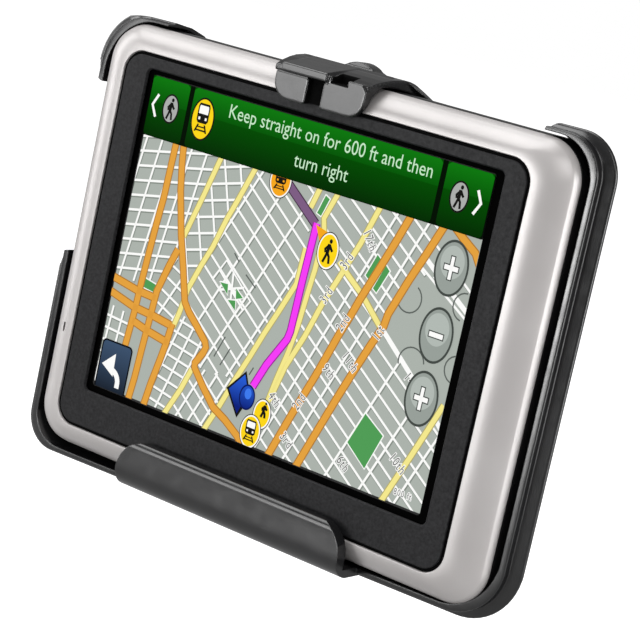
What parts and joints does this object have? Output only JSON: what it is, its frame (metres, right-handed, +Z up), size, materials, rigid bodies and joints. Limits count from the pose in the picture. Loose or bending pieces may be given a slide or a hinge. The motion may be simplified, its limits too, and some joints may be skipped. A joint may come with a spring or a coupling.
{
  "type": "portable gps navigator",
  "caption": "Small touch-screen car navigator in a satin silver frame, seated in a black form-fit cradle with corner clips, a bottom lip and a flexing top latch.",
  "frame": {"origin": "middle of the flat face of the cradle's rear mounting pad", "axes": "+Z up; the screen faces -Y and the mounting pad +Y; +X to the right of a person who looks at the screen"},
  "size_m": [0.1032, 0.0225, 0.0798],
  "materials": {
    "satin_silver": "satin silver lacquer on moulded plastic",
    "mask_grey": "fine-grained dark grey plastic",
    "black_plastic": "fine spark-eroded black plastic",
    "cradle_black": "satin black glass-filled plastic",
    "black_foam": "closed-cell foam",
    "touch_glass": "hard-coated touch glass over a lit picture",
    "lcd_grey": "polariser film on glass",
    "acrylic": "clear polished acrylic",
    "tinned_steel": "bright tinned sheet",
    "amber_film": "polyimide film",
    "board_green": "solder-masked glass epoxy",
    "chip_black": "moulded epoxy",
    "patch_ceramic": "fired ceramic",
    "battery_foil": "pouch foil",
    "screw_steel": "zinc-plated steel",
    "ivory_nylon": "natural nylon",
    "red_wire": "insulated lead",
    "black_wire": "insulated lead",
    "boot_rubber": "moulded rubber"
  },
  "bodies": {
    "root": {"front_bezel": "satin_silver", "mask_frame": "mask_grey", "screen_gasket": "black_foam", "touch_panel": "touch_glass", "lcd_glass": "lcd_grey", "light_guide": "acrylic", "backlight_tray": "tinned_steel", "lcd_flex": "amber_film", "touch_flex": "amber_film", "lcd_connector": "ivory_nylon", "touch_connector": "ivory_nylon", "mid_frame": "tinned_steel", "main_board": "board_green", "processor": "chip_black", "memory_chip": "chip_black", "rf_shield": "tinned_steel", "patch_antenna": "patch_ceramic", "battery_pad": "black_foam", "battery": "battery_foil", "battery_plug": "ivory_nylon", "battery_lead_red": "red_wire", "battery_lead_black": "black_wire", "speaker": "black_plastic", "speaker_gasket": "black_foam", "speaker_lead_red": "red_wire", "speaker_lead_black": "black_wire", "usb_socket": "tinned_steel", "card_socket": "tinned_steel", "power_switch": "chip_black", "microphone": "tinned_steel", "mic_boot": "boot_rubber", "rear_casing": "black_plastic", "cradle_shell": "cradle_black", "casing_screw_1": "screw_steel", "board_screw_1": "screw_steel", "casing_screw_2": "screw_steel", "board_screw_2": "screw_steel", "casing_screw_3": "screw_steel", "board_screw_3": "screw_steel", "casing_screw_4": "screw_steel", "board_screw_4": "screw_steel"},
    "latch": {"latch_tongue": "cradle_black"},
    "power_key": {"power_slider": "black_plastic", "switch_actuator": "ivory_nylon"}
  },
  "joints": [
    {"name": "latch_flex", "type": "hinge", "parent": "root", "child": "latch", "pos_m": [0, -0.00502, 0.0343], "axis": [-1, 0, 0], "range_deg": [0, 22], "stiffness_Nm_per_rad": 0.3},
    {"name": "power_slide", "type": "slide", "parent": "root", "child": "power_key", "axis": [1, 0, 0], "range_m": [-0.0015, 0.0015], "stiffness_N_per_m": 200}
  ]
}
